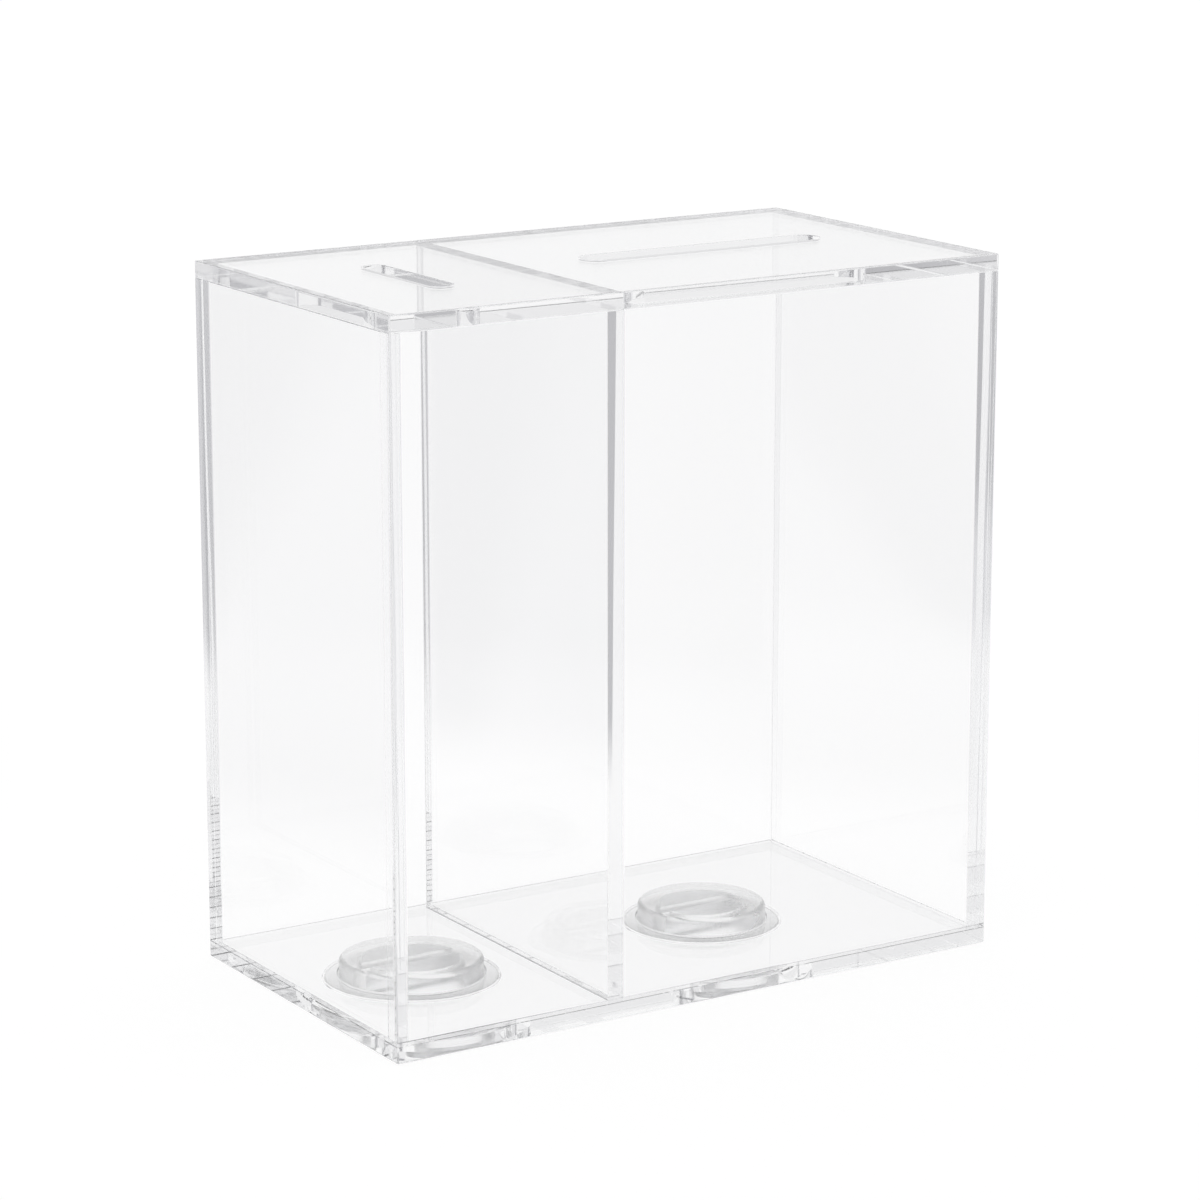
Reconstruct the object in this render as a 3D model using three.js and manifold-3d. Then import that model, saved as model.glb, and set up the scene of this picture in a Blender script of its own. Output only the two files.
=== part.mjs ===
// Clear acrylic money box with two compartments: seven sheet panels bonded into a closed box, and a
// soft press-in stopper in the base under each compartment.
// Millimetres, +Z up, +X to the right of the front, +Y to the back. The origin is the middle of the
// footprint, on the surface that the box stands on.
import * as THREE from "three";
import { mergeVertices } from "three/addons/utils/BufferGeometryUtils.js";
import Module from "manifold-3d";

const wasm = await Module();
wasm.setup();

// The box outside, and the sheets that it is made of
const WIDTH = 165;
const DEPTH = 92;
const HEIGHT = 170;
const WALL_SHEET = 4; // front, back, left and right panels
const DIVIDER_SHEET = 4;
const TOP_SHEET = 4;
const BASE_SHEET = 4;
const LEFT_ROOM = 53.5; // clear width of the left compartment
const CORNER_RADIUS = 0.4; // polished upright corners, seen from above

// The slots in the top panel, with round ends
const SHORT_SLOT_LENGTH = 36; // front to back, over the left compartment
const SHORT_SLOT_WIDTH = 6;
const LONG_SLOT_LENGTH = 67; // left to right, over the right compartment
const LONG_SLOT_WIDTH = 8;

// The stoppers, and their stepped seats in the base panel
const SEAT_HOLE_RADIUS = 16;
const FIT_CLEARANCE = 0.3; // between a stopper and its seat, all round
const FLANGE_REACH = 3.5; // how far the flange stands out past the plug
const FLANGE_THICKNESS = 1.5;
const FLANGE_INSET = 0.2; // keeps the stopper off the surface that the box stands on
const PLUG_RISE = 4; // above the inside of the base panel
const PLUG_CHAMFER = 1; // lead-in at the plug's inner end
const PLUG_WALL = 5; // round the grip recess
const PLUG_CROWN = 1.8; // over the grip recess
const GRIP_BAR_WIDTH = 4;
const GRIP_BAR_INSET = 0.6; // below the stopper's outer face
const GRIP_BAR_ROOT = 0.9; // how deep the bar is sunk into the plug's wall and crown

// Facets
const ROUND_SEGMENTS = 48; // stoppers and seats, so that their facets line up
const ARC_SEGMENTS = 10; // slot ends and corners
const CUT_MARGIN = 1; // how far a cutter runs past the faces that it opens

// Worked out from the sizes above
const halfWidth = WIDTH / 2;
const halfDepth = DEPTH / 2;
const innerLeft = -halfWidth + WALL_SHEET;
const innerRight = halfWidth - WALL_SHEET;
const innerDepth = DEPTH - 2 * WALL_SHEET;
const wallHeight = HEIGHT - BASE_SHEET - TOP_SHEET;
const wallMiddle = BASE_SHEET + wallHeight / 2;
const dividerLeft = innerLeft + LEFT_ROOM;
const dividerRight = dividerLeft + DIVIDER_SHEET;
const leftRoomMiddle = (innerLeft + dividerLeft) / 2;
const rightRoomMiddle = (dividerRight + innerRight) / 2;

const plugRadius = SEAT_HOLE_RADIUS - FIT_CLEARANCE;
const plugTop = BASE_SHEET + PLUG_RISE;
const flangeRadius = plugRadius + FLANGE_REACH;
const flangeTop = FLANGE_INSET + FLANGE_THICKNESS;
const recessRadius = plugRadius - PLUG_WALL;
const recessTop = plugTop - PLUG_CROWN;

const acrylic = { color: 0xf4f6f8, roughness: 0.04, metalness: 0, transparent: true, opacity: 0.22 };
const softClear = { color: 0xe9ebec, roughness: 0.35, metalness: 0, transparent: true, opacity: 0.55 };

const box = new THREE.Group();

function addPiece(name, geometry, look) {
  const mesh = new THREE.Mesh(geometry, new THREE.MeshStandardMaterial(look));
  mesh.name = name;
  box.add(mesh);
  return mesh;
}

// A closed geometry as a solid that can be cut and joined
function toSolid(geometry) {
  const bare = geometry.clone();
  bare.deleteAttribute("normal");
  bare.deleteAttribute("uv");
  const merged = mergeVertices(bare);
  const vertProperties = merged.attributes.position.array;
  const triVerts = new Uint32Array(merged.index.array);
  return new wasm.Manifold(new wasm.Mesh({ numProp: 3, vertProperties, triVerts }));
}

function toGeometry(solid) {
  const { vertProperties, triVerts } = solid.getMesh();
  const geometry = new THREE.BufferGeometry();
  geometry.setAttribute("position", new THREE.BufferAttribute(vertProperties, 3));
  geometry.setIndex(new THREE.BufferAttribute(triVerts, 1));
  geometry.computeVertexNormals();
  return geometry;
}

// A sheet whose plan is the given shape, from one height to another
function sheet(shape, bottom, top) {
  const options = { depth: top - bottom, bevelEnabled: false, curveSegments: ARC_SEGMENTS };
  return new THREE.ExtrudeGeometry(shape, options).translate(0, 0, bottom);
}

// A round piece about an upright axis, from [radius, height] points that start and end on the axis
function turned(profile) {
  const points = profile.map(([radius, height]) => new THREE.Vector2(radius, height));
  return new THREE.LatheGeometry(points, ROUND_SEGMENTS).rotateX(Math.PI / 2);
}

// The plan of the box: a rectangle whose four corners are rounded
function footprint() {
  const shape = new THREE.Shape();
  const x = halfWidth - CORNER_RADIUS;
  const y = halfDepth - CORNER_RADIUS;
  shape.absarc(x, y, CORNER_RADIUS, 0, Math.PI / 2);
  shape.absarc(-x, y, CORNER_RADIUS, Math.PI / 2, Math.PI);
  shape.absarc(-x, -y, CORNER_RADIUS, Math.PI, 1.5 * Math.PI);
  shape.absarc(x, -y, CORNER_RADIUS, 1.5 * Math.PI, 2 * Math.PI);
  shape.closePath();
  return shape;
}

// A slot with round ends, its middle at (x, 0), lying along X or along Y
function slot(x, length, width, alongY) {
  const path = new THREE.Path();
  const reach = (length - width) / 2;
  const turn = alongY ? Math.PI / 2 : 0;
  const dx = reach * (alongY ? 0 : 1);
  const dy = reach * (alongY ? 1 : 0);
  path.absarc(x + dx, dy, width / 2, turn - Math.PI / 2, turn + Math.PI / 2);
  path.absarc(x - dx, -dy, width / 2, turn + Math.PI / 2, turn + 1.5 * Math.PI);
  path.closePath();
  return path;
}

// Top panel: covers the walls and has a slot over the middle of each compartment
const topPlan = footprint();
topPlan.holes.push(slot(leftRoomMiddle, SHORT_SLOT_LENGTH, SHORT_SLOT_WIDTH, true));
topPlan.holes.push(slot(rightRoomMiddle, LONG_SLOT_LENGTH, LONG_SLOT_WIDTH, false));
addPiece("top_panel", sheet(topPlan, HEIGHT - TOP_SHEET, HEIGHT), acrylic);

// Base panel: carries the walls and has a stepped seat for each stopper
function seatCutter(x) {
  const recess = flangeRadius + FIT_CLEARANCE;
  const ledge = flangeTop + FIT_CLEARANCE;
  const above = BASE_SHEET + CUT_MARGIN;
  const profile = [
    [0, -CUT_MARGIN],
    [recess, -CUT_MARGIN],
    [recess, ledge],
    [SEAT_HOLE_RADIUS, ledge],
    [SEAT_HOLE_RADIUS, above],
    [0, above],
  ];
  return toSolid(turned(profile).translate(x, 0, 0));
}
const baseSolid = toSolid(sheet(footprint(), 0, BASE_SHEET))
  .subtract(seatCutter(leftRoomMiddle))
  .subtract(seatCutter(rightRoomMiddle));
addPiece("base_panel", toGeometry(baseSolid), acrylic);

// Front and back panels: the full width of the box, with their outer upright corners rounded
function longWallPlan(side) {
  const shape = new THREE.Shape();
  const x = halfWidth - CORNER_RADIUS;
  const y = side * (halfDepth - CORNER_RADIUS);
  const inside = side * (halfDepth - WALL_SHEET);
  const clockwise = side > 0;
  const outward = (side * Math.PI) / 2;
  shape.absarc(-x, y, CORNER_RADIUS, Math.PI, Math.PI - outward, clockwise);
  shape.absarc(x, y, CORNER_RADIUS, outward, 0, clockwise);
  shape.lineTo(halfWidth, inside);
  shape.lineTo(-halfWidth, inside);
  shape.closePath();
  return shape;
}
addPiece("front_panel", sheet(longWallPlan(-1), BASE_SHEET, HEIGHT - TOP_SHEET), acrylic);
addPiece("back_panel", sheet(longWallPlan(1), BASE_SHEET, HEIGHT - TOP_SHEET), acrylic);

// Left, right and divider panels: between the front and the back
function crossWall(name, x, thickness) {
  const geometry = new THREE.BoxGeometry(thickness, innerDepth, wallHeight);
  addPiece(name, geometry, acrylic).position.set(x, 0, wallMiddle);
}
crossWall("left_panel", innerLeft - WALL_SHEET / 2, WALL_SHEET);
crossWall("right_panel", innerRight + WALL_SHEET / 2, WALL_SHEET);
crossWall("divider_panel", (dividerLeft + dividerRight) / 2, DIVIDER_SHEET);

// Stoppers: a flanged plug, hollow from below, with a bar across the hollow to pull it out by
function stopper(name, x) {
  const plug = turned([
    [0, recessTop],
    [recessRadius, recessTop],
    [recessRadius, FLANGE_INSET],
    [flangeRadius, FLANGE_INSET],
    [flangeRadius, flangeTop],
    [plugRadius, flangeTop],
    [plugRadius, plugTop - PLUG_CHAMFER],
    [plugRadius - PLUG_CHAMFER, plugTop],
    [0, plugTop],
  ]);
  const barBottom = FLANGE_INSET + GRIP_BAR_INSET;
  const barHeight = recessTop + GRIP_BAR_ROOT - barBottom;
  const barLength = 2 * (recessRadius + GRIP_BAR_ROOT);
  const bar = new THREE.BoxGeometry(barLength, GRIP_BAR_WIDTH, barHeight);
  bar.translate(0, 0, barBottom + barHeight / 2);
  const geometry = toGeometry(toSolid(plug).add(toSolid(bar)));
  addPiece(name, geometry, softClear).position.x = x;
}
stopper("left_stopper", leftRoomMiddle);
stopper("right_stopper", rightRoomMiddle);

export default box;
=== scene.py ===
import math

import bmesh
import bpy
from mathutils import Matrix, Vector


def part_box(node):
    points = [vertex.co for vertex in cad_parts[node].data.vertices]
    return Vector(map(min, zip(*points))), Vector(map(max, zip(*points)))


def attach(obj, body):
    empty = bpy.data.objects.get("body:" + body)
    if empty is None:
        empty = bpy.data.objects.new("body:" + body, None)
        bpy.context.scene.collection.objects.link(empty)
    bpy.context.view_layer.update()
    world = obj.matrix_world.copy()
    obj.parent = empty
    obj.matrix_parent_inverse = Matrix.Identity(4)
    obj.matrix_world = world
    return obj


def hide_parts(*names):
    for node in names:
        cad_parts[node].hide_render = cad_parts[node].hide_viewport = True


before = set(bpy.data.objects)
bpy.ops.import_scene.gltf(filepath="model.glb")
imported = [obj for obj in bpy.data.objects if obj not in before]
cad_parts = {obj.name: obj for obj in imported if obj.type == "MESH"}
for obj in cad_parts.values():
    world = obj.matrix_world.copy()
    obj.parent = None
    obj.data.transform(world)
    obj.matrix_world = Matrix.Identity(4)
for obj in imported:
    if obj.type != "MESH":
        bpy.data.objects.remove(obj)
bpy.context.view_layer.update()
scene = bpy.context.scene
mm = 0.001

# How the sheets are worked before they are bonded into a box
sheetWork = {
    "cornerRadius": 0.4 * mm,  # upright corners of the box
    "polish": 0.3 * mm,  # rounding of the polished rims
    "arris": 0.12 * mm,  # fine chamfer along the joint lines
    "bond": 0.006 * mm,  # reach into the neighbour, so that no air lies in a joint
    "bead": 0.3 * mm,  # radius of the cement that is left along an inner joint
    "leastRound": 0.02 * mm,  # what is left of a corner's rounding on an inset outline
    "flatOver": 1.5 * mm,  # narrower strips are shaded smooth
    "sharpAngle": 40,  # degrees between faces that meet in a crisp edge
    "cornerSteps": 8,
    "polishSteps": 6,
    "slotSteps": 24,
    "holeSteps": 128,
}


# Plan outlines, all counter-clockwise
def arcPoints(x, y, radius, start, sweep, steps):
    angles = [math.radians(start + sweep * step / steps) for step in range(steps + 1)]
    return [(x + radius * math.cos(angle), y + radius * math.sin(angle)) for angle in angles]


def rectanglePlan(low, high, radii, insetX=0.0, insetY=0.0):
    # radii run from the right back corner round by the left to the right front, below 0 for a bead
    corners = ((1, 1, 0), (-1, 1, 90), (-1, -1, 180), (1, -1, 270))
    points = []
    for (sideX, sideY, start), radius in zip(corners, radii):
        x = high[0] - insetX if sideX > 0 else low[0] + insetX
        y = high[1] - insetY if sideY > 0 else low[1] + insetY
        steps = sheetWork["cornerSteps"]
        if radius < 0:  # hollow-faced, and spread on to the neighbour
            points += arcPoints(x - sideX * radius, y + sideY * radius, -radius, 180 - start, -90, steps)
            continue
        if radius <= sheetWork["arris"]:  # a chamfer is an arc of one step
            steps = 1
        rounding = max(radius - max(insetX, insetY), sheetWork["leastRound"])
        points += arcPoints(x - sideX * rounding, y - sideY * rounding, rounding, start, 90, steps)
    return points


def insetRectangle(low, high, radii, inset):
    return rectanglePlan(low, high, radii, inset, inset)


def slotPlan(centre, length, width, alongY):
    reach = (length - width) / 2
    steps = sheetWork["slotSteps"]
    points = arcPoints(reach, 0, width / 2, -90, 180, steps)
    points += arcPoints(-reach, 0, width / 2, 90, 180, steps)
    if alongY:
        points = [(-y, x) for x, y in points]
    return [(centre[0] + x, centre[1] + y) for x, y in points]


def circlePlan(centre, radius, steps):
    return arcPoints(centre[0], centre[1], radius, 0, 360 - 360 / steps, steps - 1)


def roundedEdge(radius, steps):
    # (inset, drop) pairs from the upright side round to the flat face
    angles = [math.radians(90 * step / steps) for step in range(steps + 1)]
    return [(radius * (1 - math.cos(angle)), radius * (1 - math.sin(angle))) for angle in angles]


def addPiece(name, bm):
    mesh = bpy.data.meshes.new(name)
    bm.to_mesh(mesh)
    bm.free()
    piece = bpy.data.objects.new(name, mesh)
    scene.collection.objects.link(piece)
    return piece


# A solid from outlines stacked by height, with holes stacked alike
def stackedSolid(name, outside, holes=()):
    bm = bmesh.new()
    stacks = []
    for levels in (outside, *holes):
        rings = [[bm.verts.new((x, y, height)) for x, y in outline] for height, outline in levels]
        for lower, upper in zip(rings, rings[1:]):
            for i in range(len(lower)):
                j = (i + 1) % len(lower)
                face = bm.faces.new((lower[i], lower[j], upper[j], upper[i]))
                across = (lower[j].co - lower[i].co).length
                along = (upper[i].co - lower[i].co).length
                face.smooth = min(across, along) < sheetWork["flatOver"]
        stacks.append(rings)
    for end in (0, -1):
        edges = []
        for rings in stacks:
            ring = rings[end]
            edges += [bm.edges.get((ring[i], ring[(i + 1) % len(ring)])) for i in range(len(ring))]
        filled = bmesh.ops.triangle_fill(bm, use_beauty=True, use_dissolve=False, edges=edges)
        for face in filled["geom"]:
            if isinstance(face, bmesh.types.BMFace):
                face.smooth = False
    bmesh.ops.recalc_face_normals(bm, faces=bm.faces)
    for edge in bm.edges:
        edge.smooth = edge.calc_face_angle(0) < math.radians(sheetWork["sharpAngle"])
    return addPiece(name, bm)


# How each face was worked: 0 as cast or bonded, 1 cut and polished
def markWork(piece, workOf):
    values = [workOf(face) for face in piece.data.polygons]
    layer = piece.data.attributes.new("edgeWork", "FLOAT", "FACE")
    layer.data.foreach_set("value", values)


# Shader nodes
def addNode(tree, kind, inputs=None, **settings):
    node = tree.nodes.new(kind)
    for name, value in settings.items():
        setattr(node, name, value)
    for name, value in (inputs or {}).items():
        node.inputs[name].default_value = value
    return node


def newMaterial(name):
    material = bpy.data.materials.new(name)
    material.use_nodes = True
    return material, material.node_tree, material.node_tree.nodes["Principled BSDF"]


def newGroup(name, inputs, outputs):
    group = bpy.data.node_groups.new(name, "ShaderNodeTree")
    for label, kind in inputs:
        group.interface.new_socket(label, in_out="INPUT", socket_type=kind)
    for label, kind in outputs:
        group.interface.new_socket(label, in_out="OUTPUT", socket_type=kind)
    return group, addNode(group, "NodeGroupInput"), addNode(group, "NodeGroupOutput")


def placeGroup(tree, group, inputs):
    node = addNode(tree, "ShaderNodeGroup", node_tree=group)
    for name, value in inputs.items():
        node.inputs[name].default_value = value
    return node


# Traces of making and handling: hazy smudges, slow waves of the cast sheet, ripples on polished edges
handling = {
    "smudgeNoise": {"Scale": 22.0, "Detail": 4.0, "Roughness": 0.62},
    "smudgeRange": {"From Min": 0.52, "From Max": 0.78},
    "rippleNoise": {"Scale": 260.0, "Detail": 2.0, "Roughness": 0.5},
    "waveNoise": {"Scale": 12.0, "Detail": 1.0},
}


def makeHandlingGroup():
    single = "NodeSocketFloat"
    group, inside, outside = newGroup(
        "handlingMarks",
        [
            ("Edge", single),
            ("Base", single),
            ("Smudge", single),
            ("Edge Haze", single),
            ("Ripple", single),
        ],
        [("Roughness", single), ("Height", single)],
    )
    link = group.links.new
    place = addNode(group, "ShaderNodeTexCoord")
    smudgeNoise = addNode(group, "ShaderNodeTexNoise", handling["smudgeNoise"])
    link(place.outputs["Object"], smudgeNoise.inputs["Vector"])
    smudge = addNode(group, "ShaderNodeMapRange", handling["smudgeRange"])
    link(smudgeNoise.outputs["Fac"], smudge.inputs["Value"])
    smudgeAmount = addNode(group, "ShaderNodeMath", operation="MULTIPLY_ADD")
    link(smudge.outputs["Result"], smudgeAmount.inputs[0])
    link(inside.outputs["Smudge"], smudgeAmount.inputs[1])
    link(inside.outputs["Base"], smudgeAmount.inputs[2])
    rippleNoise = addNode(group, "ShaderNodeTexNoise", handling["rippleNoise"])
    link(place.outputs["Object"], rippleNoise.inputs["Vector"])
    edgeHaze = addNode(group, "ShaderNodeMath", operation="MULTIPLY")
    link(inside.outputs["Edge"], edgeHaze.inputs[0])
    link(inside.outputs["Edge Haze"], edgeHaze.inputs[1])
    roughness = addNode(group, "ShaderNodeMath", operation="MULTIPLY_ADD")
    link(rippleNoise.outputs["Fac"], roughness.inputs[0])
    link(edgeHaze.outputs[0], roughness.inputs[1])
    link(smudgeAmount.outputs[0], roughness.inputs[2])
    link(roughness.outputs[0], outside.inputs["Roughness"])
    waveNoise = addNode(group, "ShaderNodeTexNoise", handling["waveNoise"])
    link(place.outputs["Object"], waveNoise.inputs["Vector"])
    edgeRipple = addNode(group, "ShaderNodeMath", operation="MULTIPLY")
    link(inside.outputs["Edge"], edgeRipple.inputs[0])
    link(inside.outputs["Ripple"], edgeRipple.inputs[1])
    height = addNode(group, "ShaderNodeMath", operation="MULTIPLY_ADD")
    link(rippleNoise.outputs["Fac"], height.inputs[0])
    link(edgeRipple.outputs[0], height.inputs[1])
    link(waveNoise.outputs["Fac"], height.inputs[2])
    link(height.outputs[0], outside.inputs["Height"])
    return group


handlingMarks = makeHandlingGroup()


def dressSurface(tree, shader, marks, look):
    link = tree.links.new
    link(marks.outputs["Roughness"], shader.inputs["Roughness"])
    strength, distance = look["bumpStrength"], look["bumpDistance"]
    bump = addNode(tree, "ShaderNodeBump", {"Strength": strength, "Distance": distance})
    link(marks.outputs["Height"], bump.inputs["Height"])
    link(bump.outputs["Normal"], shader.inputs["Normal"])


acrylicLook = {
    "tint": (0.998, 0.998, 0.999, 1),
    "ior": 1.49,
    "depthColour": (0.0, 0.0, 0.06, 1),  # what the depth of the sheet keeps back
    "depthDensity": 0.6,
    "base": 0.0,
    "smudge": 0.012,
    "edgeHaze": 0.05,
    "ripple": 0.03,
    "bumpStrength": 0.09,
    "bumpDistance": 0.4 * mm,
}


def makeAcrylic(look):
    material, tree, shader = newMaterial("clearAcrylic")
    link = tree.links.new
    shader.inputs["Base Color"].default_value = look["tint"]
    shader.inputs["IOR"].default_value = look["ior"]
    shader.inputs["Transmission Weight"].default_value = 1.0
    edge = addNode(tree, "ShaderNodeAttribute", attribute_name="edgeWork")
    marks = placeGroup(
        tree, handlingMarks,
        {
            "Base": look["base"],
            "Smudge": look["smudge"],
            "Edge Haze": look["edgeHaze"],
            "Ripple": look["ripple"],
        },
    )
    link(edge.outputs["Fac"], marks.inputs["Edge"])
    dressSurface(tree, shader, marks, look)
    depth = addNode(
        tree, "ShaderNodeVolumeAbsorption", {"Color": look["depthColour"], "Density": look["depthDensity"]}
    )
    link(depth.outputs["Volume"], tree.nodes["Material Output"].inputs["Volume"])
    return material


acrylic = makeAcrylic(acrylicLook)


def finishSheet(piece, node, workOf):
    markWork(piece, workOf)
    piece.data.materials.append(acrylic)
    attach(piece, "box")
    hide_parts(node)


def nodeMiddle(node):
    low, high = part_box(node)
    return ((low[0] + high[0]) / 2, (low[1] + high[1]) / 2)


leftMiddle = nodeMiddle("left_stopper")
rightMiddle = nodeMiddle("right_stopper")
boxCorners = [sheetWork["cornerRadius"]] * 4

topSheet = {
    "shortSlot": (36 * mm, 6 * mm),
    "longSlot": (67 * mm, 8 * mm),
    "slotRim": 0.2 * mm,
}
levelFrom = 0.99  # upright share of the normal from which a face is as cast


def rimWork(face):
    return 0.0 if abs(face.normal[2]) > levelFrom else 1.0


def slotStack(centre, size, alongY, low, high):
    rim = roundedEdge(topSheet["slotRim"], sheetWork["polishSteps"])
    levels = [(low + drop, inset) for inset, drop in reversed(rim)]
    levels += [(high - drop, inset) for inset, drop in rim]
    return [(z, slotPlan(centre, size[0] + 2 * out, size[1] + 2 * out, alongY)) for z, out in levels]


def makeTop():
    low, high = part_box("top_panel")
    arris = sheetWork["arris"]
    under = low[2] - sheetWork["bond"]
    levels = [(under, insetRectangle(low, high, boxCorners, arris))]
    levels += [(low[2] + arris, insetRectangle(low, high, boxCorners, 0))]
    for inset, drop in roundedEdge(sheetWork["polish"], sheetWork["polishSteps"]):
        levels.append((high[2] - drop, insetRectangle(low, high, boxCorners, inset)))
    slots = [
        slotStack(leftMiddle, topSheet["shortSlot"], True, under, high[2]),
        slotStack(rightMiddle, topSheet["longSlot"], False, under, high[2]),
    ]
    piece = stackedSolid("topSheet", levels, slots)
    finishSheet(piece, "top_panel", rimWork)


makeTop()

baseSheet = {
    "holeRadius": 16 * mm,
    "recessRadius": 19.5 * mm,
    "ledgeHeight": 2.0 * mm,
    "rimChamfer": 0.25 * mm,
}


def seatStack(centre, low, high):
    chamfer = baseSheet["rimChamfer"]
    levels = (
        (low, baseSheet["recessRadius"] + chamfer),
        (low + chamfer, baseSheet["recessRadius"]),
        (baseSheet["ledgeHeight"], baseSheet["recessRadius"]),
        (baseSheet["ledgeHeight"], baseSheet["holeRadius"]),
        (high - chamfer, baseSheet["holeRadius"]),
        (high, baseSheet["holeRadius"] + chamfer),
    )
    return [(z, circlePlan(centre, radius, sheetWork["holeSteps"])) for z, radius in levels]


def makeBase():
    low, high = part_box("base_panel")
    arris = sheetWork["arris"]
    over = high[2] + sheetWork["bond"]
    levels = []
    for inset, drop in reversed(roundedEdge(sheetWork["polish"], sheetWork["polishSteps"])):
        levels.append((low[2] + drop, insetRectangle(low, high, boxCorners, inset)))
    levels += [(high[2] - arris, insetRectangle(low, high, boxCorners, 0))]
    levels += [(over, insetRectangle(low, high, boxCorners, arris))]
    seats = [seatStack(leftMiddle, low[2], over), seatStack(rightMiddle, low[2], over)]
    piece = stackedSolid("baseSheet", levels, seats)
    finishSheet(piece, "base_panel", rimWork)


makeBase()

# corners: radius at each upright corner, from the right back round by the left to the right front
# drift: how far the sheet was cast over or under its nominal thickness, at the bottom and at the top
# faces: which faces that moves, as shares for the left, front, right and back
outer = sheetWork["cornerRadius"]
joint = sheetWork["arris"]
bead = -sheetWork["bead"]
wallSheets = {
    "frontSheet": {
        "node": "front_panel",
        "cross": False,
        "corners": (joint, joint, outer, outer),
        "drift": (0, 0),
        "faces": (0, 0, 0, 1),
    },
    "backSheet": {
        "node": "back_panel",
        "cross": False,
        "corners": (outer, outer, joint, joint),
        "drift": (-0.17 * mm, -0.03 * mm),
        "faces": (0, 1, 0, 0),
    },
    "leftSheet": {
        "node": "left_panel",
        "cross": True,
        "corners": (bead, joint, joint, bead),
        "drift": (0, 0),
        "faces": (0, 0, 1, 0),
    },
    "rightSheet": {
        "node": "right_panel",
        "cross": True,
        "corners": (joint, bead, bead, joint),
        "drift": (-0.3 * mm, -0.1 * mm),
        "faces": (1, 0, 0, 0),
    },
    "dividerSheet": {
        "node": "divider_panel",
        "cross": True,
        "corners": (bead, bead, bead, bead),
        "drift": (0.02 * mm, 0.3 * mm),
        "faces": (0.5, 0, 0.5, 0),
    },
}


sidewaysFrom = 0.05  # sideways share of the normal from which a face is a cut end


def endWork(face):
    return 1.0 if abs(face.normal[0]) > sidewaysFrom else 0.0


def bondedWork(face):
    return 0.0


def makeWall(name, wall):
    low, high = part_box(wall["node"])
    left, front, right, back = wall["faces"]

    def driftAt(sheet, z):
        bottom, top = wallSheets[sheet]["drift"]
        return bottom + (top - bottom) * (z - low[2]) / (high[2] - low[2])

    def planAt(z, insetX=0.0, insetY=0.0):
        extra = driftAt(name, z)
        toFront = sheetWork["bond"] if wall["cross"] else 0
        toBack = sheetWork["bond"] - driftAt("backSheet", z) if wall["cross"] else 0
        planLow = (low[0] - extra * left, low[1] - extra * front - toFront)
        planHigh = (high[0] + extra * right, high[1] + extra * back + toBack)
        return z, rectanglePlan(planLow, planHigh, wall["corners"], insetX, insetY)

    if max(wall["corners"]) > 0:  # an outer wall, chamfered along its top and bottom joints
        arris = sheetWork["arris"]
        insets = (arris, 0 if wall["cross"] else arris)
        levels = [planAt(low[2], *insets), planAt(low[2] + arris)]
        levels += [planAt(high[2] - arris), planAt(high[2], *insets)]
    else:  # the divider, with beads there
        spread = roundedEdge(sheetWork["bead"], sheetWork["cornerSteps"])
        levels = [planAt(low[2] + rise, -flare) for rise, flare in spread]
        levels += [planAt(high[2] - rise, -flare) for rise, flare in reversed(spread)]
    piece = stackedSolid(name, levels)
    finishSheet(piece, wall["node"], bondedWork if wall["cross"] else endWork)


for name, wall in wallSheets.items():
    makeWall(name, wall)
print("sheets: top, base and", len(wallSheets), "walls")

stopper = {
    "plugRadius": 15.7 * mm,
    "flangeThickness": 1.5 * mm,
    "recessRadius": 10.7 * mm,
    "crown": 1.8 * mm,  # over the grip recess
    "leadIn": 1.2 * mm,  # rounding of the plug's inner end
    "soften": 0.45 * mm,  # rounding of the flange
    "fillet": 0.8 * mm,  # at the root of the recess
    "neckFillet": 0.2 * mm,  # where the plug stands on the flange
    "barWidth": 4 * mm,
    "barInset": 0.6 * mm,
    "barRoot": 0.9 * mm,
    "sharpAngle": 32,  # degrees between faces that meet in a crisp edge
    "turnSteps": 120,
    "arcSteps": 5,
}
stopperLook = {
    "colour": (0.984, 0.986, 0.99, 1),
    "ior": 1.41,
    "transmission": 1.0,
    "base": 0.24,
    "smudge": 0.1,
    "ripple": 0.3,
    "bumpStrength": 0.1,
    "bumpDistance": 0.3 * mm,
}


def makeStopperMaterial(look):
    material, tree, shader = newMaterial("softStopper")
    shader.inputs["Base Color"].default_value = look["colour"]
    shader.inputs["IOR"].default_value = look["ior"]
    shader.inputs["Transmission Weight"].default_value = look["transmission"]
    marks = placeGroup(
        tree, handlingMarks,
        {
            "Edge": 1.0,  # moulded, so worked alike all over
            "Base": look["base"],
            "Smudge": look["smudge"],
            "Ripple": look["ripple"],
        },
    )
    dressSurface(tree, shader, marks, look)
    return material


# A profile of (radius, height, rounding) corners with each corner turned into an arc
def roundedProfile(corners, steps):
    points = []
    for i, (radius, height, rounding) in enumerate(corners):
        if rounding <= 0 or i in (0, len(corners) - 1):
            points.append((radius, height))
            continue
        here = (radius, height)
        arms = []
        for other in (corners[i - 1], corners[i + 1]):
            dx, dy = other[0] - radius, other[1] - height
            length = math.hypot(dx, dy)
            arms.append((dx / length, dy / length))
        middle = [here[k] + rounding * (arms[0][k] + arms[1][k]) for k in (0, 1)]
        for step in range(steps + 1):
            turn = math.radians(90 * step / steps)
            away = [arms[1][k] * math.cos(turn) + arms[0][k] * math.sin(turn) for k in (0, 1)]
            points.append((middle[0] - rounding * away[0], middle[1] - rounding * away[1]))
    return points


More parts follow.
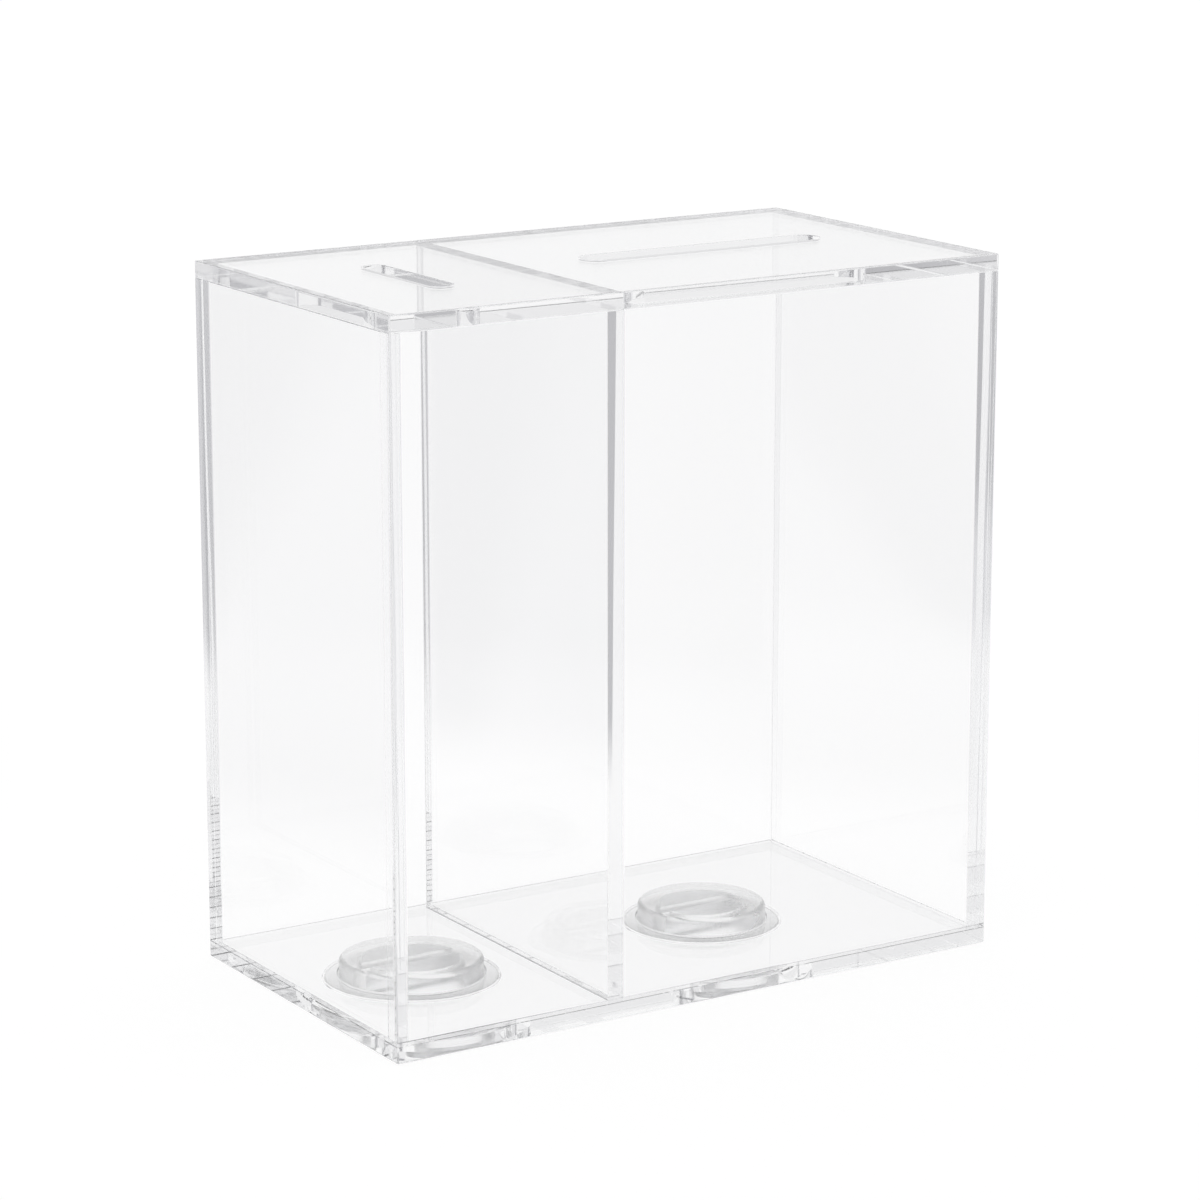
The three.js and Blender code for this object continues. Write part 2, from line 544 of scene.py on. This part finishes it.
def turnedSolid(name, profile, centre, steps):
    bm = bmesh.new()
    rings = []
    for radius, height in profile:
        if radius == 0:
            rings.append([bm.verts.new((centre[0], centre[1], height))])
        else:
            rings.append([bm.verts.new((x, y, height)) for x, y in circlePlan(centre, radius, steps)])
    for first, second in zip(rings, rings[1:]):
        for i in range(steps):
            j = (i + 1) % steps
            loop = [first[i % len(first)], first[j % len(first)]]
            loop += [second[j % len(second)], second[i % len(second)]]
            bm.faces.new(list(dict.fromkeys(loop)))
    bmesh.ops.recalc_face_normals(bm, faces=bm.faces)
    return addPiece(name, bm)


def makeStopper(name, node, material):
    low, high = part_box(node)
    centre = nodeMiddle(node)
    flangeRadius = (high[0] - low[0]) / 2
    flangeTop = low[2] + stopper["flangeThickness"]
    recessTop = high[2] - stopper["crown"]
    soften = stopper["soften"]
    profile = roundedProfile(
        [
            (0, recessTop, 0),
            (stopper["recessRadius"], recessTop, stopper["fillet"]),
            (stopper["recessRadius"], low[2], soften),
            (flangeRadius, low[2], soften),
            (flangeRadius, flangeTop, soften),
            (stopper["plugRadius"], flangeTop, stopper["neckFillet"]),
            (stopper["plugRadius"], high[2], stopper["leadIn"]),
            (0, high[2], 0),
        ],
        stopper["arcSteps"],
    )
    piece = turnedSolid(name, profile, centre, stopper["turnSteps"])
    halfBar = stopper["recessRadius"] + stopper["barRoot"]
    barLow = (centre[0] - halfBar, centre[1] - stopper["barWidth"] / 2)
    barHigh = (centre[0] + halfBar, centre[1] + stopper["barWidth"] / 2)
    barBottom = low[2] + stopper["barInset"]
    levels = []
    for inset, drop in reversed(roundedEdge(soften, stopper["arcSteps"])):
        levels.append((barBottom + drop, insetRectangle(barLow, barHigh, [soften] * 4, inset)))
    levels.append((recessTop + stopper["barRoot"], insetRectangle(barLow, barHigh, [soften] * 4, 0)))
    bar = stackedSolid(name + "Bar", levels)
    join = piece.modifiers.new("gripBar", "BOOLEAN")
    join.operation = "UNION"
    join.solver = "EXACT"
    join.object = bar
    graph = bpy.context.evaluated_depsgraph_get()
    joined = bpy.data.meshes.new_from_object(piece.evaluated_get(graph))
    piece.modifiers.clear()
    piece.data = joined
    bpy.data.objects.remove(bar)
    joined.polygons.foreach_set("use_smooth", [True] * len(joined.polygons))
    joined.set_sharp_from_angle(angle=math.radians(stopper["sharpAngle"]))
    joined.materials.clear()
    joined.materials.append(material)
    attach(piece, node)
    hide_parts(node)


softStopper = makeStopperMaterial(stopperLook)
makeStopper("leftStopper", "left_stopper", softStopper)
makeStopper("rightStopper", "right_stopper", softStopper)
print("stoppers: left and right")

viewAzimuth = 32.32  # degrees from +Y towards +X, the way the photograph looks

# The studio's brightness by bearing from the view: 0.5 is straight ahead, less is left, more is right
studio = {
    "tones": (
        (0.00, 0.70),
        (0.07, 0.82),
        (0.20, 0.74),
        (0.280, 0.68),
        (0.312, 0.70),
        (0.322, 0.50),
        (0.330, 0.50),
        (0.345, 0.80),
        (0.42, 1.00),
        (0.58, 1.00),
        (0.70, 0.75),
        (0.765, 0.56),
        (0.790, 0.52),
        (0.820, 0.58),
        (0.838, 0.70),
        (0.862, 0.80),
        (0.91, 0.78),
        (1.00, 0.70),
    ),
    "coolness": 0.015,
    "paperFront": 0.85,  # half the paper's width, as a share of how far it comes forward
    "wallFrom": 0.06,  # height on the sky where the sweep starts to turn into the wall, and has turned
    "wallTo": 0.2,
    "wall": (0.87, 0.87, 0.875, 1),
    "ceilingFrom": 0.62,  # and where the wall turns into the ceiling
    "ceilingTo": 0.78,
    "ceiling": (0.12, 0.12, 0.125, 1),
}


def makeSweepGroup():
    group, inside, outside = newGroup(
        "studioSweep",
        [("Place", "NodeSocketVector")],
        [("Tone", "NodeSocketColor"), ("Reach", "NodeSocketFloat")],
    )
    link = group.links.new
    azimuth = math.radians(viewAzimuth)
    ahead = addNode(group, "ShaderNodeVectorMath", operation="DOT_PRODUCT")
    ahead.inputs[1].default_value = (math.sin(azimuth), math.cos(azimuth), 0)
    link(inside.outputs["Place"], ahead.inputs[0])
    aside = addNode(group, "ShaderNodeVectorMath", operation="DOT_PRODUCT")
    aside.inputs[1].default_value = (math.cos(azimuth), -math.sin(azimuth), 0)
    link(inside.outputs["Place"], aside.inputs[0])
    beside = addNode(group, "ShaderNodeMath", operation="ABSOLUTE")
    link(aside.outputs["Value"], beside.inputs[0])
    before = addNode(group, "ShaderNodeMath", operation="MULTIPLY")
    before.inputs[1].default_value = -studio["paperFront"]
    link(ahead.outputs["Value"], before.inputs[0])
    reach = addNode(group, "ShaderNodeMath", operation="MAXIMUM")
    link(beside.outputs[0], reach.inputs[0])
    link(before.outputs[0], reach.inputs[1])
    link(reach.outputs[0], outside.inputs["Reach"])
    bearing = addNode(group, "ShaderNodeMath", operation="ARCTAN2")
    link(aside.outputs["Value"], bearing.inputs[0])
    link(ahead.outputs["Value"], bearing.inputs[1])
    share = addNode(group, "ShaderNodeMapRange", {"From Min": -math.pi, "From Max": math.pi})
    link(bearing.outputs["Value"], share.inputs["Value"])
    ramp = addNode(group, "ShaderNodeValToRGB")
    ramp.color_ramp.interpolation = "EASE"
    elements = ramp.color_ramp.elements
    while len(elements) < len(studio["tones"]):
        elements.new(0.5)
    for element, (position, tone) in zip(elements, studio["tones"]):
        element.position = position
        element.color = (tone, tone, min(1.0, tone + studio["coolness"]), 1)
    link(share.outputs["Result"], ramp.inputs["Fac"])
    link(ramp.outputs["Color"], outside.inputs["Tone"])
    return group


studioSweep = makeSweepGroup()

floorSetup = {
    "halfSize": 12.0,
    "drop": 0.2 * mm,  # below the underside of the box
    "roughness": 0.9,
    "shine": 0.0,
    "diffuse": 0.17,  # share of the white that is lit, and so takes the shadow
    "glow": 0.93,  # share that is seen as it is
    "paperHalf": 0.155,  # the white paper that the box stands on, and where it has faded out into the painted shade of the studio's brightness
    "paperFade": 0.25,
}


def makeFloor(setup):
    half = setup["halfSize"]
    mesh = bpy.data.meshes.new("floor")
    corners = [(-half, -half, 0), (half, -half, 0), (half, half, 0), (-half, half, 0)]
    mesh.from_pydata(corners, [], [(0, 1, 2, 3)])
    floor = bpy.data.objects.new("floor", mesh)
    floor.location.z = -setup["drop"]
    scene.collection.objects.link(floor)
    material, tree, shader = newMaterial("paleFloor")
    link = tree.links.new
    shader.inputs["Roughness"].default_value = setup["roughness"]
    shader.inputs["Specular IOR Level"].default_value = setup["shine"]
    place = addNode(tree, "ShaderNodeTexCoord")
    sweep = placeGroup(tree, studioSweep, {})
    link(place.outputs["Object"], sweep.inputs["Place"])
    limits = {"From Min": setup["paperHalf"], "From Max": setup["paperFade"]}
    paper = addNode(tree, "ShaderNodeMapRange", limits, interpolation_type="SMOOTHSTEP")
    link(sweep.outputs["Reach"], paper.inputs["Value"])
    # Beyond the paper, the floor's colour and glow are painted shade: the studio's brightness by bearing,
    # darker to the sides and in narrow bands
    tone = addNode(tree, "ShaderNodeMix", data_type="RGBA")
    tone.inputs["A"].default_value = (1, 1, 1, 1)
    link(paper.outputs["Result"], tone.inputs["Factor"])
    link(sweep.outputs["Tone"], tone.inputs["B"])
    matt = addNode(tree, "ShaderNodeVectorMath", operation="SCALE")
    matt.inputs["Scale"].default_value = setup["diffuse"]
    link(tone.outputs["Result"], matt.inputs[0])
    link(matt.outputs["Vector"], shader.inputs["Base Color"])
    link(tone.outputs["Result"], shader.inputs["Emission Color"])
    path = addNode(tree, "ShaderNodeLightPath")
    through = addNode(tree, "ShaderNodeMath", operation="MAXIMUM")
    link(path.outputs["Is Glossy Ray"], through.inputs[0])
    link(path.outputs["Is Transmission Ray"], through.inputs[1])
    seen = addNode(tree, "ShaderNodeMath", operation="MAXIMUM")
    link(path.outputs["Is Camera Ray"], seen.inputs[0])
    link(through.outputs[0], seen.inputs[1])
    glow = addNode(tree, "ShaderNodeMath", operation="MULTIPLY")
    glow.inputs[1].default_value = setup["glow"]
    link(seen.outputs[0], glow.inputs[0])
    link(glow.outputs[0], shader.inputs["Emission Strength"])
    below = addNode(tree, "ShaderNodeNewGeometry")
    clear = addNode(tree, "ShaderNodeBsdfTransparent")
    oneSided = addNode(tree, "ShaderNodeMixShader")
    link(below.outputs["Backfacing"], oneSided.inputs["Fac"])
    link(shader.outputs["BSDF"], oneSided.inputs[1])
    link(clear.outputs["BSDF"], oneSided.inputs[2])
    link(oneSided.outputs["Shader"], tree.nodes["Material Output"].inputs["Surface"])
    mesh.materials.append(material)


makeFloor(floorSetup)


def makeSurround():
    world = bpy.data.worlds.new("studio")
    scene.world = world
    world.use_nodes = True
    tree = world.node_tree
    link = tree.links.new
    place = addNode(tree, "ShaderNodeTexCoord")
    sweep = placeGroup(tree, studioSweep, {})
    link(place.outputs["Generated"], sweep.inputs["Place"])
    split = addNode(tree, "ShaderNodeSeparateXYZ")
    link(place.outputs["Generated"], split.inputs["Vector"])
    surround = sweep.outputs["Tone"]
    for part in ("wall", "ceiling"):
        limits = {"From Min": studio[part + "From"], "From Max": studio[part + "To"]}
        height = addNode(tree, "ShaderNodeMapRange", limits, interpolation_type="SMOOTHSTEP")
        link(split.outputs["Z"], height.inputs["Value"])
        turn = addNode(tree, "ShaderNodeMix", data_type="RGBA")
        turn.inputs["B"].default_value = studio[part]
        link(height.outputs["Result"], turn.inputs["Factor"])
        link(surround, turn.inputs["A"])
        surround = turn.outputs["Result"]
    link(surround, tree.nodes["Background"].inputs["Color"])


makeSurround()
print("studio: floor and surround")

cameraSetup = {
    "lens": 124.8,
    "sensor": 36.0,
    "place": (-0.5164, -0.8167, 0.3183),
    "tiltDown": 13.44,  # degrees
}


def makeCamera(setup):
    data = bpy.data.cameras.new("camera")
    data.lens = setup["lens"]
    data.sensor_width = setup["sensor"]
    camera = bpy.data.objects.new("camera", data)
    camera.location = setup["place"]
    camera.rotation_euler = (math.radians(90 - setup["tiltDown"]), 0, math.radians(-viewAzimuth))
    scene.collection.objects.link(camera)
    scene.camera = camera


makeCamera(cameraSetup)
scene.view_settings.view_transform = "Standard"

# Light that is caught inside a sheet is reflected many times before it leaves at an edge
lightBounces = 400
scene.cycles.max_bounces = lightBounces
scene.cycles.transmission_bounces = lightBounces
scene.cycles.glossy_bounces = lightBounces
